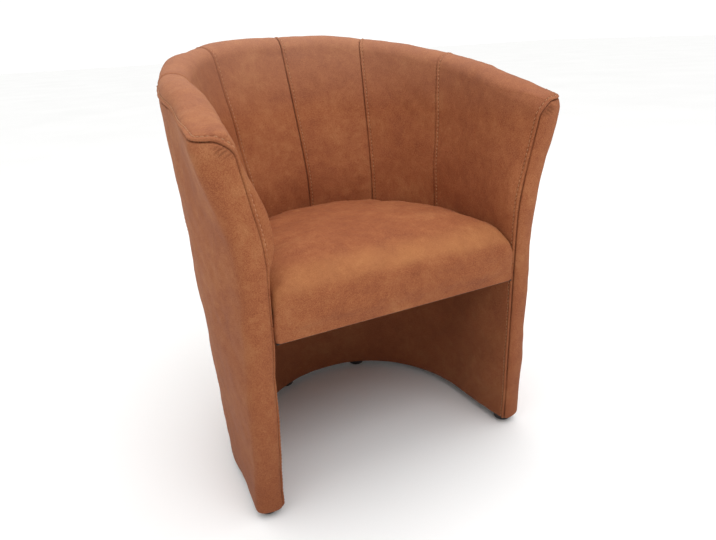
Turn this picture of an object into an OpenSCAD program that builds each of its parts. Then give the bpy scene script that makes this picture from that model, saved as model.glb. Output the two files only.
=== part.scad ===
// Tub chair: one upholstered shell wraps round the sitter as back and arms,
// stands on the floor on four glides and carries a fixed, domed seat between
// its sides. Millimetres, +Z up, the front faces -Y, and the origin lies on
// the floor under the middle of the shell.
// A place on the wall is given by a lap, from -1 at the front of the left arm
// through 0 at the middle of the back to 1 at the front of the right arm, by a
// height, and by a depth counted outwards from the inner face.

/* [Heights] */
// Height of the rim at the middle of the back
rim_h = 773; // [745:1:800]
// Height of the arm tops at their front ends
arm_h = 657; // [640:1:675]
// Gap under the shell, filled by the glides
foot_gap = 14; // [11:0.5:18]
// Height of the bottom of the seat
seat_low = 340; // [328:1:350]
// Height of the top of the seat where it meets the back and the arms
seat_edge = 428; // [420:1:436]
// Height of the crown of the seat
seat_crown = 455; // [446:1:465]

/* [Inside of the tub] */
// Inside width at the floor
in_w_foot = 458; // [445:1:475]
// Inside width at the seat
in_w_waist = 434; // [424:1:446]
// Inside width at the rim, behind the arms
in_w_rim = 512; // [498:1:526]
// Depth of the round back, from its centre, at the floor
in_back_foot = 243; // [235:1:252]
// Depth of the round back, from its centre, at the seat
in_back_waist = 230; // [223:1:238]
// Depth of the round back, from its centre, at the rim
in_back_rim = 338; // [325:1:348]

/* [Walls] */
// Thickness of the sides at the floor
side_t_foot = 56.5; // [53:0.5:60]
// Thickness of the sides at the seat
side_t_waist = 86; // [82:0.5:90]
// Thickness of the sides at the rim, behind the arms
side_t_rim = 49; // [47:0.5:54]
// Thickness of the back at the floor
back_t_foot = 58; // [54:0.5:62]
// Thickness of the back at the seat
back_t_waist = 84; // [80:0.5:88]
// Thickness of the back at the rim
back_t_rim = 57; // [54:0.5:62]

/* [Arms] */
// Reach of the arms in front of the round's centre, at the floor
reach_foot = 143; // [136:1:150]
// Reach of the arms in front of the round's centre, at the arm tops
reach_arm = 173; // [165:1:181]
// Thickness of the arm ends at the floor
end_foot = 47; // [44:0.5:50]
// Thickness of the arm ends at the seat
end_waist = 39.5; // [38:0.5:43]
// Thickness that the arm ends would have at the height of the rim
end_rim = 72; // [67:1:77]
// Depth of the rounding of the arm ends
nose_d = 19; // [15:0.5:23]
// Height of the rounded rim above its outer seam
cap_h = 26; // [22:0.5:29]

/* [Upholstery] */
// Thickness of the covers with their wadding
cover_t = 4; // [3:0.25:4.5]
// Thickness of the padding on the inner board
pad_t = 8; // [7:0.25:10]
// Depth to which the channel seams are drawn in
seam_pull = 4; // [2:0.25:5]

/* [Frame] */
// Thickness of the inner and the outer board
board_t = 3; // [2.5:0.25:3.5]
// Thickness of the plywood rails
rail_t = 18; // [15:0.5:20]
// Height of the middle rail's underside
mid_rail_low = 290; // [280:1:296]
// Thickness of the timber of the seat frame
seat_rail_t = 22; // [19:0.5:24]
// Height of the timber of the seat frame
seat_rail_h = 42; // [39:1:45]
// Width of a webbing strap
web_w = 50; // [40:1:56]
// Distance between the straps
web_pitch = 64; // [60:1:68]

/* [Glides] */
// Diameter of the glides
glide_d = 34; // [28:0.5:36]
// Distance of each rear glide from the middle
rear_glide_x = 95; // [70:1:120]
// Distance of each front glide behind its arm end
front_glide_back = 32; // [28:1:38]

/* [Hidden] */

// Clearance between neighbouring pieces with curved faces
fit_gap = 0.3;
// Clearance of straight-sided timber beside curved boards
timber_gap = 1.4;
// Height at which the walls turn outwards, and how softly they do
knee_h = 487;
knee_r = 42;
// Height above the bottom of the seat at which, hidden by the seat, the upper
// covers end and the lining begins
join_rise = 30;
join_h = seat_low + join_rise;
// How far the arms splay at their front ends
splay_foot = 12;
splay_waist = 6;
splay_rim = 30;
// Share of the lap, from the middle, that is round
bend_share = 0.62;
// Squareness of the round at the floor and at the rim, 2 being an ellipse
square_foot_share = 2;
square_rim_share = 2.4;
// How late along the lap the wall thins towards the arm ends
thin_share = 4.6;
// How the rim falls from the back to the arms
fall_share = 1.75;
// Roundness of the arm ends and of the rim, 2 being an ellipse
nose_share = 2.7;
cap_share = 2.3;
// Laps of the two channel seams on each side, the middle one being 0
seam_a_share = 0.2344;
seam_b_share = 0.5023;
// Angle round the arm end at which its long seam runs, and half its clearance
end_seam_angle = 32;
seam_angle = 0.8;
// Laps, counted to the arm end's rounding, at which boards end and posts stand
board_end_share = 0.885;
post_from_share = 0.892;
post_to_share = 0.985;
post_screw_share = 0.906;
base_end_share = 0.985;
// Laps of the ribs, and half their width
rib_back_share = 0.132;
rib_side_share = 0.5;
rib_half_share = 0.015;
// Height left between the boards' top edges and the foot of the rounded rim
board_drop = 3;
rim_rail_h = 26;
// Height of the base rail over the shell's edge, and its inset from the skins
base_lift = 2;
base_inset = 6.5;
strip_t = 0.7;
strip_gap = 0.3;
// Overrun of cuts
over = 1;

// Seat
seat_clear = 0.8;
seat_setback = 4;
seat_front_edge = 382;
seat_puff = 6;
seat_cover_t = 3;
wadding_t = 3;
foam_front_back = 14.5;
foam_rise = 1;
// Place of the crown, from the arm ends to the back, and the seat's roundness
crown_share = 0.52;
seat_round_front_share = 3;
seat_round_back_share = 1.9;
seat_corner_share = 0.8;
web_t = 1.5;
web_long_n = 5;
web_cross_n = 5;
web_inset = 9;
liner_t = 1.2;
liner_inset = 1.5;
block_leg = 55;
block_h = 24;

// Fasteners
bolt_d = 6;
bolt_head_d = 12;
bolt_head_t = 4;
bolt_front_l = 55;
bolt_side_l = 66;
bolt_rise = 16;
post_bolt_back = 40.5;
bolt_clear = 0.3;
screw_d = 4.5;
screw_head_d = 8.5;
screw_head_t = 2.6;
screw_l = 46;
nail_d = 4;
nail_head_d = 10;
nail_head_t = 1.6;
nail_l = 22;
nail_clear = 0.1;
nail_recess = 5;
glide_round = 3;

// Sampling of the wall: columns of a channel and of an arm's round and straight
// part, rows of the lower and upper wall, steps over the rim and round the end
channel_shares = [0, 0.07, 0.2, 0.4, 0.6, 0.8, 0.93, 1];
arm_round_shares = [0, 0.15, 0.45];
arm_straight_shares = [0, 0.25, 0.5, 0.75, 1];
low_shares = [0, 0.33, 0.67, 1];
high_shares = [0.12, 0.28, 0.46, 0.64, 0.82, 1];
cap_angles = [0, 16, 36, 60, 90, 120, 144, 164, 180];
nose_angles = [18, end_seam_angle, 46, 63, 90];
seat_rho_shares = [0.985, 0.95, 0.89, 0.8, 0.66, 0.45, 0.22];
seat_front_n = 12;
round_n = 32;

function mix(a, b, t) = a + (b - a) * t;
function signed_pow(v, p) = sign(v) * pow(abs(v), p);
function flat(rows) = [for (row = rows) each row];
function backwards(list) = [for (i = [len(list) - 1:-1:0]) list[i]];

// Shape of the walls with height: straight to the knee, then turned outwards
function knee(z) =
    (sqrt(pow(z - knee_h, 2) + pow(knee_r, 2)) + z - knee_h)
    / (sqrt(pow(rim_h - knee_h, 2) + pow(knee_r, 2)) + rim_h - knee_h);
function straight(foot, waist, z) = mix(foot, waist, (z - foot_gap) / (knee_h - foot_gap));
function with_height(foot, waist, top, z) =
    straight(foot, waist, z) + (top - straight(foot, waist, rim_h)) * knee(z);
function half_in(z) = with_height(in_w_foot, in_w_waist, in_w_rim, z) / 2;
function back_in(z) = with_height(in_back_foot, in_back_waist, in_back_rim, z);
function side_wall(z) = with_height(side_t_foot, side_t_waist, side_t_rim, z);
function back_wall(z) = with_height(back_t_foot, back_t_waist, back_t_rim, z);
function end_wall(z) = with_height(end_foot, end_waist, end_rim, z);
function splay(z) = with_height(splay_foot, splay_waist, splay_rim, z);
function reach(z) = mix(reach_foot, reach_arm, (z - foot_gap) / (arm_h - cap_h - foot_gap));
function squareness(z) = mix(square_foot_share, square_rim_share, z / rim_h);

// How far along the wall a lap lies: 0 at the back, 1 at the arm end
round_length = PI / 2 * norm([in_w_rim / 2, in_back_rim]) / sqrt(2);
function run(lap) =
    (min(abs(lap) / bend_share, 1) * round_length
     + max(0, (abs(lap) - bend_share) / (1 - bend_share)) * reach_arm) / (round_length + reach_arm);
function rim(lap) = rim_h - (rim_h - arm_h) * pow(run(lap), fall_share);
function cap_foot(lap) = rim(lap) - cap_h;

// How far the rim reaches behind the centre of the round and the arm tops in
// front of it, and that centre, with the middle of the shell over the origin
back_end = max([for (arch = cap_angles)
    let (z = rim_h - cap_h + cap_h * pow(sin(arch), 2 / cap_share))
    back_in(z) + back_wall(z) / 2 * (1 - signed_pow(cos(arch), 2 / cap_share))]);
front_end = max([for (turn = nose_angles)
    let (z = arm_h - cap_h, lap = lap_behind(end_back(0, turn), z),
         u = (lap - bend_share) / (1 - bend_share), slope = 2 * splay(z) * u)
    u * reach_arm - slope / norm([reach_arm, slope]) * wall_t(lap, z) / 2
                    * (1 - signed_pow(cos(turn), 2 / nose_share))]);
round_y = (front_end - back_end) / 2;

// Inner face of the wall: place and outward direction
function face(lap, z) =
    let (q = abs(lap), side = lap < 0 ? -1 : 1, n = squareness(z),
         a = half_in(z), b = back_in(z), turn = 90 * min(q / bend_share, 1),
         cx = pow(max(sin(turn), 0), 2 / n), cy = pow(max(cos(turn), 0), 2 / n),
         u = max(0, (q - bend_share) / (1 - bend_share)),
         gx = q < bend_share ? pow(cx, n - 1) / a : reach(z),
         gy = q < bend_share ? pow(cy, n - 1) / b : 2 * splay(z) * u,
         g = norm([gx, gy]))
    [side * (a * cx + splay(z) * u * u), b * cy - u * reach(z) + round_y,
     side * gx / g, gy / g];
function wall_t(lap, z) =
    let (q = abs(lap), turn = 90 * min(q / bend_share, 1))
    mix(mix(back_wall(z), side_wall(z), pow(sin(turn), 2)), end_wall(z), pow(q, thin_share));
function place(lap, z, depth) =
    let (f = face(lap, z)) [f[0] + f[2] * depth, f[1] + f[3] * depth, z];
function plan(lap, z, depth) = let (p = place(lap, z, depth)) [p[0], p[1]];

// Lap at a distance behind the arm end, and lap of a column, which runs to 1
// where the rounding of the arm end, or of another end, starts
function lap_behind(dist, z) = bend_share + (1 - bend_share) * (1 - dist / reach(z));
function lap_of(col, z, dist = nose_d) =
    abs(col) <= bend_share ? col
        : sign(col) * mix(bend_share, lap_behind(dist, z), (abs(col) - bend_share) / (1 - bend_share));
function end_back(inset, turn) = nose_d - (nose_d - inset) * pow(max(sin(turn), 0), 2 / nose_share);

// A point of the skin at a column, sunk by an inset. The turn goes round the
// arm end, from 0 on the inner face to 180 on the outer face, and the arch
// goes over the rim in the same way. Height z is the foot of the arch.
function skin_lap(col, z, inset, turn) =
    turn == 0 || turn == 180 ? lap_of(col, z) : sign(col) * lap_behind(end_back(inset, turn), z);
function skin(col, z, inset, turn = 0, arch = 0) =
    let (lap = skin_lap(col, z, inset, turn), half = wall_t(lap, z) / 2)
    place(lap, z, half - (half - inset) * signed_pow(cos(turn), 2 / nose_share)
                         * signed_pow(cos(arch), 2 / cap_share));
function over_rim(col, inset, turn, arch) =
    let (lap = skin_lap(col, cap_foot(1), inset, turn),
         shrink = pow(max(cos(turn), 0), 2 / nose_share),
         z = cap_foot(lap) + (cap_h - inset) * shrink * pow(max(sin(arch), 0), 2 / cap_share),
         half = wall_t(lap, z) / 2)
    place(lap, z, half - (half - inset) * shrink * signed_pow(cos(arch), 2 / cap_share));

// How far the channel seams draw the inner skin in, fading over the rim
seam_share = fit_gap / (in_w_foot + 2 * in_back_foot);
function pull(col) =
    let (q = abs(col), w = seam_b_share - seam_a_share,
         near = q < seam_a_share ? min(q, seam_a_share - q) / seam_a_share
                : q < seam_b_share ? min(q - seam_a_share, seam_b_share - q) / w : (q - seam_b_share) / w)
    seam_pull * pow(max(0, 1 - 2 * near), 3);
function fading(arch) = (1 + cos(arch)) / 2;

// Columns along the wall
function steps(from, to, shares) = [for (t = shares) mix(from, to, t)];
function but_last(list) = [for (i = [0:len(list) - 2]) list[i]];
function arm_cols(from, to) =
    concat(steps(from, bend_share, arm_round_shares), steps(bend_share, to, arm_straight_shares));
function half_cols(to) = concat(but_last(steps(0, seam_a_share, channel_shares)),
                                but_last(steps(seam_a_share, seam_b_share, channel_shares)),
                                arm_cols(seam_b_share, to));
function all_cols(to) =
    concat([for (c = backwards(half_cols(to))) if (c > 0) -c], half_cols(to));

// Rows up the wall, as heights at a column
low_n = len(low_shares);
function low_rows(low) = [for (i = [0:low_n - 1]) i == 0 ? low : mix(foot_gap, join_h, low_shares[i])];
function high_rows(col, drop, inset = 0, turn = 0) =
    [for (t = high_shares) mix(join_h, cap_foot(skin_lap(col, cap_foot(1), inset, turn)) - drop, t)];
function full_rows(col, low, drop) = concat(low_rows(low), high_rows(col, drop));

// Solid sheet between two skins, given as rows of points. Above pole_row all
// columns count and the last one closes to a point; below it only wall_cols.
module sheet(top, under, pole_row = -1, wall_cols = -1) {
    rows = len(top);
    cols = len(top[0]);
    n = rows * cols;
    function on(r, c) = r >= 0 && c >= 0 && r < rows - 1 && c < cols - 1
                        && (pole_row < 0 || r >= pole_row || c < wall_cols);
    function at(r, c) = pole_row >= 0 && c == cols - 1 && r >= pole_row
                        ? pole_row * cols + c : r * cols + c;
    function tri(a, b, c) = a == b || b == c || a == c ? [] : [[a, b, c]];
    function quad(a, b, c, d) = concat(tri(a, b, c), tri(a, c, d));
    polyhedron(
        points = concat(flat(top), flat(under)),
        faces = [for (r = [0:rows - 2]) for (c = [0:cols - 2]) if (on(r, c))
            let (p = at(r, c), q = at(r, c + 1), s = at(r + 1, c + 1), t = at(r + 1, c))
            each concat(
                quad(p, q, s, t),
                quad(t + n, s + n, q + n, p + n),
                on(r - 1, c) ? [] : quad(q, p, p + n, q + n),
                on(r + 1, c) ? [] : quad(t, s, s + n, t + n),
                on(r, c - 1) ? [] : quad(p, t, t + n, p + n),
                on(r, c + 1) ? [] : quad(s, q, q + n, s + n))]);
}

function transposed(m) = [for (j = [0:len(m[0]) - 1]) [for (i = [0:len(m) - 1]) m[i][j]]];

// Depths of the layers, from the inner skin outwards and from the outer inwards
pad_depth = cover_t + fit_gap;
board_depth = pad_depth + pad_t + fit_gap;
hollow_depth = board_depth + board_t + fit_gap;
outer_board_depth = cover_t + 2 * fit_gap;
outer_hollow_depth = outer_board_depth + board_t + fit_gap;
base_top = foot_gap + base_lift + rail_t;
mid_rail_top = mid_rail_low + rail_t;
function rim_rail_low(col) = cap_foot(lap_of(col, cap_foot(1))) - board_drop - rim_rail_h;

// Layer of the wall: from and to are [depth, 0] from the inside or
// [depth, 1] from the outside
function depth_at(edge, lap, z) = edge[1] == 0 ? edge[0] : wall_t(lap, z) - edge[0];
function layer_point(col, z, edge, pulled = 0) =
    let (lap = lap_of(col, z)) place(lap, z, depth_at(edge, lap, z) + pulled * pull(col));
module layer(cols, low, drop, from, to, pulled = 0) {
    sheet(transposed([for (c = cols) [for (z = full_rows(c, low, drop)) layer_point(c, z, from, pulled)]]),
          transposed([for (c = cols) [for (z = full_rows(c, low, drop)) layer_point(c, z, to)]]));
}

// Flat piece that follows the wall between two depths at one height
module band(cols, z, h, from, to, at) {
    translate([0, 0, z]) linear_extrude(h)
        polygon(concat([for (c = cols) plan(lap_of(c, at), at, depth_at(from, lap_of(c, at), at))],
                       [for (c = backwards(cols)) plan(lap_of(c, at), at, depth_at(to, lap_of(c, at), at))]));
}

module mirrored() { mirror([1, 0, 0]) children(); }

// Places of the fasteners and glides
screw_cols = [-post_screw_share, -rib_side_share, -rib_back_share,
              rib_back_share, rib_side_share, post_screw_share];
function hollow_middle(lap, z) = (hollow_depth + wall_t(lap, z) - outer_hollow_depth) / 2;
function screw_place(col) =
    let (lap = lap_of(col, base_top),
         mid = abs(col) > board_end_share ? wall_t(lap, base_top) / 2 : hollow_middle(lap, base_top))
    plan(lap, base_top, mid);
function rear_glide() = [rear_glide_x, let (b = back_in(foot_gap), a = half_in(foot_gap),
    w = wall_t(0, foot_gap) / 2) round_y + (b + w) * sqrt(1 - pow(rear_glide_x / (a + w), 2))];
function front_glide() =
    let (lap = lap_behind(front_glide_back, foot_gap)) plan(lap, foot_gap, wall_t(lap, foot_gap) / 2);
glide_places = [[-front_glide()[0], front_glide()[1]], front_glide(),
                [-rear_glide()[0], rear_glide()[1]], rear_glide()];
bolt_z = seat_low + bolt_rise;
post_bolt_share = bend_share
    + (1 - bend_share) * (reach(bolt_z) - post_bolt_back) / (reach(bolt_z) - nose_d);
rail_inset = seat_cover_t + 2 * timber_gap;
bolt_from = seat_clear + rail_inset + seat_rail_t + fit_gap;

// A bolt runs outwards through the seat frame into a post or a rib
module along_wall(col) {
    f = face(lap_of(col, bolt_z), bolt_z);
    translate([f[0], f[1], bolt_z]) rotate([0, 0, atan2(f[3], f[2])]) rotate([0, 90, 0]) children();
}
module bolt_holes(col) {
    along_wall(col) translate([0, 0, -bolt_from - over])
        cylinder(d = bolt_d + 2 * bolt_clear, $fn = round_n,
                 h = (col > bend_share ? bolt_front_l : bolt_side_l) + 2 * over);
}
module both_bolt_holes(col) {
    bolt_holes(col);
    mirrored() bolt_holes(col);
}
module screw_hole(col) {
    translate(concat(screw_place(col), foot_gap))
        cylinder(d = screw_d + 2 * bolt_clear, h = base_lift + screw_l + over, $fn = round_n);
}

// Frame

module base_rail() {
    color("burlywood") difference() {
        band(all_cols(base_end_share), foot_gap + base_lift, rail_t,
             [base_inset, 0], [base_inset, 1], foot_gap + base_lift);
        for (c = screw_cols) {
            screw_hole(c);
            translate(concat(screw_place(c), foot_gap + base_lift - over))
                cylinder(d = screw_head_d + 2 * bolt_clear, h = screw_head_t + over + bolt_clear, $fn = round_n);
        }
        for (p = glide_places) translate(concat(p, foot_gap))
            cylinder(d = nail_d + 2 * nail_clear, h = nail_l, $fn = round_n);
    }
}
module middle_rail() {
    color("burlywood") band(all_cols(board_end_share), mid_rail_low, rail_t,
        [hollow_depth + timber_gap, 0], [outer_hollow_depth + timber_gap, 1], mid_rail_low + rail_t / 2);
}
module rim_rail(cols) {
    function edge(e, up) = [for (c = cols) layer_point(c, rim_rail_low(c) + up, e)];
    sheet([edge([hollow_depth, 0], 0), edge([hollow_depth, 0], rim_rail_h)],
          [edge([outer_hollow_depth, 1], 0), edge([outer_hollow_depth, 1], rim_rail_h)]);
}
module rim_rail_back() {
    cols = [for (c = all_cols(board_end_share)) if (abs(c) < seam_b_share) c];
    color("tan") rim_rail(concat([seam_share - seam_b_share], cols, [seam_b_share - seam_share]));
}
module rim_rail_right() {
    color("tan") rim_rail(concat([seam_b_share + seam_share],
        [for (c = arm_cols(seam_b_share, board_end_share)) if (c > seam_b_share) c]));
}
module rim_rail_left() { mirrored() rim_rail_right(); }

module front_post_right() {
    color("wheat") difference() {
        layer(steps(post_from_share, post_to_share, [0, 0.5, 1]), base_top, board_drop,
              [pad_depth + timber_gap, 0], [outer_board_depth + timber_gap, 1]);
        bolt_holes(post_bolt_share);
        screw_hole(post_screw_share);
    }
}
module front_post_left() { mirrored() front_post_right(); }

module rib(col, low, high) {
    cols = steps(col - rib_half_share, col + rib_half_share, [0, 0.5, 1]);
    inner = [hollow_depth + timber_gap, 0];
    outer = [outer_hollow_depth + timber_gap, 1];
    function rows(c) = high ? let (top = rim_rail_low(c) - fit_gap) steps(low, top, [0, 0.2, 0.4, 0.6, 0.8, 1])
                                    : steps(low, mid_rail_low, [0, 0.5, 1]);
    sheet(transposed([for (c = cols) [for (z = rows(c)) layer_point(c, z, inner)]]),
          transposed([for (c = cols) [for (z = rows(c)) layer_point(c, z, outer)]]));
}
module low_rib(col) {
    color("wheat") difference() {
        rib(col, base_top, false);
        screw_hole(col);
    }
}
module low_rib_back_right() { low_rib(rib_back_share); }
module low_rib_side_right() { low_rib(rib_side_share); }
module low_rib_back_left() { mirrored() low_rib_back_right(); }
module low_rib_side_left() { mirrored() low_rib_side_right(); }
module high_rib_back_right() { color("wheat") rib(rib_back_share, mid_rail_top, true); }
module high_rib_side_right() {
    color("wheat") difference() {
        rib(rib_side_share, mid_rail_top, true);
        bolt_holes(rib_side_share);
    }
}
module high_rib_back_left() { mirrored() high_rib_back_right(); }
module high_rib_side_left() { mirrored() high_rib_side_right(); }

module inner_board() {
    color("peru") difference() {
        layer(all_cols(board_end_share), base_top, board_drop, [board_depth, 0], [board_depth + board_t, 0]);
        both_bolt_holes(rib_side_share);
    }
}
module outer_board() {
    color("peru") layer(all_cols(board_end_share), base_top, board_drop,
        [outer_board_depth + board_t, 1], [outer_board_depth, 1]);
}

// Padding and covers of the shell

module inner_padding() {
    color("ivory") difference() {
        layer(all_cols(board_end_share), base_top, board_drop, [pad_depth, 0], [pad_depth + pad_t, 0], 1);
        both_bolt_holes(rib_side_share);
    }
}
module rim_roll() {
    cols = all_cols(board_end_share);
    function sunk(c, arch) = pad_depth + pull(c) * fading(arch);
    color("ivory") sheet(
        [for (arch = cap_angles) [for (c = cols) over_rim(c, sunk(c, arch), 0, arch)]],
        [for (arch = cap_angles) [for (c = cols)
            skin(c, cap_foot(lap_of(c, cap_foot(1))) - board_drop + fit_gap, sunk(c, arch), 0, arch)]]);
}

function channel_side(cols, inset) = concat(
    transposed([for (c = cols) concat([skin(c, join_h + fit_gap, inset + pull(c))],
        [for (z = but_last(high_rows(c, 0))) skin(c, z, inset + pull(c))])]),
    [for (arch = cap_angles) [for (c = cols) over_rim(c, inset + pull(c) * fading(arch), 0, arch)]]);
module channel(a, b) {
    cols = steps(a + seam_share, b - seam_share, channel_shares);
    sheet(channel_side(cols, 0), channel_side(cols, cover_t));
}
module back_channel_1() { color("#a5653f") channel(-seam_b_share, -seam_a_share); }
module back_channel_2() { color("#aa6a44") channel(-seam_a_share, 0); }
module back_channel_3() { color("#a5653f") channel(0, seam_a_share); }
module back_channel_4() { color("#aa6a44") channel(seam_a_share, seam_b_share); }

arm_cover_cols = [for (c = arm_cols(seam_b_share, 1)) c == seam_b_share ? c + seam_share : c];
function arm_row(z, inset) = concat(
    [for (c = arm_cover_cols) skin(c, z(c), inset + pull(c))],
    [for (turn = nose_angles) skin(1, z(1), inset, turn)]);
function arm_side(inset) = concat(
    [for (i = [0:len(high_shares) - 1])
        arm_row(function(c) i == 0 ? join_h + fit_gap : high_rows(c, 0)[i - 1], inset)],
    [for (arch = cap_angles) concat(
        [for (c = arm_cover_cols) over_rim(c, inset + pull(c) * fading(arch), 0, arch)],
        [for (turn = nose_angles) over_rim(1, inset, turn, arch)])]);
module arm_cover_right() {
    wall_cols = len(arm_cover_cols) - 1 + len([for (t = nose_angles) if (t <= end_seam_angle) t]);
    color("#b07a50") sheet(arm_side(0), arm_side(cover_t), len(high_shares), wall_cols);
}
module arm_cover_left() { mirrored() arm_cover_right(); }

// The outer covers run from the arm end's long seam round the end to the back
end_walk = concat([for (t = nose_angles) if (t > end_seam_angle) t],
                  [for (t = backwards(nose_angles)) if (t < 90) 180 - t]);
function outer_rows(c, turn, inset) =
    [for (z = concat(low_rows(foot_gap), high_rows(c, fit_gap, inset, turn))) skin(c, z, inset, turn)];
function outer_side(inset) = transposed(concat(
    [outer_rows(1, end_seam_angle + 2 * seam_angle, inset)],
    [for (turn = end_walk) outer_rows(1, turn, inset)],
    [for (c = backwards(arm_cover_cols)) outer_rows(c, 180, inset)]));
module outer_cover_right() { color("#9c5f3e") sheet(outer_side(0), outer_side(cover_t)); }
module outer_cover_left() { mirrored() outer_cover_right(); }
module outer_cover_back() {
    cols = concat([seam_share - seam_b_share],
                  [for (c = all_cols(1)) if (abs(c) < seam_b_share) c], [seam_b_share - seam_share]);
    function side(inset) = transposed([for (c = backwards(cols)) outer_rows(c, 180, inset)]);
    color("#965a3b") sheet(side(0), side(cover_t));
}
module lower_lining() {
    turns = [for (t = nose_angles) if (t <= end_seam_angle) t];
    function side(inset) = [for (z = low_rows(foot_gap)) concat(
        [for (t = backwards(turns)) skin(-1, z, inset, t)],
        [for (c = all_cols(1)) skin(c, z, inset + pull(c) * (z - foot_gap) / (join_h - foot_gap))],
        [for (t = turns) skin(1, z, inset, t)])];
    color("#7d452b") difference() {
        sheet(side(0), side(cover_t));
        both_bolt_holes(rib_side_share);
        both_bolt_holes(post_bolt_share);
    }
}

// Seat: rings of points round a crown

seat_cols = all_cols(1);
function seat_lap(c, z, back) = lap_of(c, z, seat_setback + back);
function seat_edge_z(c) = mix(seat_edge, seat_front_edge,
    pow(max(0, (abs(c) - seat_corner_share) / (1 - seat_corner_share)), 2));
function seat_ring(share, inset, front, low, edge_lift) = concat(
    [for (c = seat_cols) let (z = mix(low, max(seat_edge_z(c), low + edge_lift), share))
        place(seat_lap(c, z, front), z, -seat_clear - inset)],
    [for (i = [1:seat_front_n - 1])
        let (t = i / seat_front_n, z = mix(low, max(seat_front_edge, low + edge_lift), share),
             p = place(seat_lap(1, z, front), z, -seat_clear - inset))
        [mix(p[0], -p[0], t), p[1] - seat_puff * share * (1 - pow(2 * t - 1, 4)), z]]);
crown_y = mix(round_y - reach(seat_edge), round_y + back_in(seat_edge), crown_share);
front_y = round_y - reach(seat_front_edge);
function crown_ring(edge, rho, top) = [for (p = edge)
    let (n = mix(seat_round_back_share, seat_round_front_share,
                 max(0, min(1, (crown_y - p[1]) / (crown_y - front_y)))))
    [p[0] * rho, mix(crown_y, p[1], rho), p[2] + (top - p[2]) * pow(1 - pow(rho, n), 1 / n)]];
function seat_rings(inset, front, low, edge_lift, top) =
    let (edge = seat_ring(1, inset, front, low, edge_lift))
    concat([seat_ring(0, inset, front, low, edge_lift), seat_ring(0.5, inset, front, low, edge_lift), edge],
           [for (rho = seat_rho_shares) crown_ring(edge, rho, top)]);

// Faces round a stack of rings, with a point on top
function ring_faces(rings, count, from, flip) =
    let (tip = from + rings * count,
         walls = [for (r = [0:rings - 2]) for (i = [0:count - 1])
             let (a = from + r * count + i, b = from + r * count + (i + 1) % count)
             each [[a, b, b + count], [a, b + count, a + count]]],
         cap = [for (i = [0:count - 1])
             [from + (rings - 1) * count + i, from + (rings - 1) * count + (i + 1) % count, tip]])
    flip ? [for (f = concat(walls, cap)) backwards(f)] : concat(walls, cap);

foam_low = seat_low + seat_rail_h + 2 * web_t;
module seat_cover() {
    outer = seat_rings(0, 0, seat_low, 0, seat_crown);
    inner = seat_rings(seat_cover_t, seat_cover_t, seat_low, 0, seat_crown - seat_cover_t);
    count = len(outer[0]);
    rings = len(outer);
    second = rings * count + 1;
    rim_faces = [for (i = [0:count - 1]) let (j = (i + 1) % count)
        each [[j, i, second + i], [j, second + i, second + j]]];
    color("#b0744a") difference() {
        polyhedron(
            points = concat(flat(outer), [[0, crown_y, seat_crown]],
                            flat(inner), [[0, crown_y, seat_crown - seat_cover_t]]),
            faces = concat(ring_faces(rings, count, 0, false), ring_faces(rings, count, second, true), rim_faces));
        both_bolt_holes(rib_side_share);
        both_bolt_holes(post_bolt_share);
    }
}
module seat_foam() {
    inset = seat_cover_t + fit_gap;
    top = seat_crown - seat_cover_t - wadding_t;
    rings = seat_rings(inset, inset + foam_front_back, foam_low, foam_rise, top);
    count = len(rings[0]);
    color("ivory") polyhedron(
        points = concat(flat(rings), [[0, crown_y, top], [0, crown_y, foam_low]]),
        faces = concat(ring_faces(len(rings), count, 0, false),
                       [for (i = [0:count - 1]) [(i + 1) % count, i, len(rings) * count + 1]]));
}

// Flat outline of the seat at a height
function seat_outline(z, inset) = [for (c = seat_cols) plan(seat_lap(c, z, inset), z, -seat_clear - inset)];
seat_mid_z = seat_low + seat_rail_h / 2;
function seat_rail_point(c, back, extra) = plan(seat_lap(c, seat_mid_z, rail_inset + back), seat_mid_z,
                                                -seat_clear - rail_inset - extra);
module seat_side_rail_right() {
    cols = steps(bend_share + seam_share, 1, arm_straight_shares);
    end = seat_rail_point(1, seat_rail_t, 0)[1] + fit_gap;
    function cut(p) = [p[0], max(p[1], end)];
    color("wheat") difference() {
        translate([0, 0, seat_low]) linear_extrude(seat_rail_h)
            polygon(concat([for (c = cols) cut(seat_rail_point(c, seat_rail_t, 0))],
                           [for (c = backwards(cols)) cut(seat_rail_point(c, seat_rail_t, seat_rail_t))]));
        bolt_holes(post_bolt_share);
    }
}
module seat_side_rail_left() { mirrored() seat_side_rail_right(); }
module seat_rear_rail() {
    cols = [for (c = seat_cols) if (abs(c) <= bend_share) c];
    color("wheat") difference() {
        translate([0, 0, seat_low]) linear_extrude(seat_rail_h)
            polygon(concat([for (c = cols) seat_rail_point(c, 0, 0)],
                           [for (c = backwards(cols)) seat_rail_point(c, 0, seat_rail_t)]));
        both_bolt_holes(rib_side_share);
    }
}
module seat_front_rail() {
    front = seat_rail_point(1, 0, 0);
    rear = seat_rail_point(1, seat_rail_t, 0);
    color("wheat") translate([0, 0, seat_low]) linear_extrude(seat_rail_h)
        polygon([front, rear, [-rear[0], rear[1]], [-front[0], front[1]]]);
}
module seat_corner_block_right() {
    front = seat_rail_point(1, seat_rail_t, seat_rail_t);
    far = seat_rail_point(bend_share, 0, seat_rail_t);
    x = min(front[0], far[0]) - fit_gap;
    y = seat_rail_point(1, seat_rail_t, 0)[1] + fit_gap;
    color("wheat") translate([0, 0, seat_low + seat_rail_h - block_h]) linear_extrude(block_h)
        polygon([[x, y], [x, y + block_leg], [x - block_leg, y]]);
}
module seat_corner_block_left() { mirrored() seat_corner_block_right(); }

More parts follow.
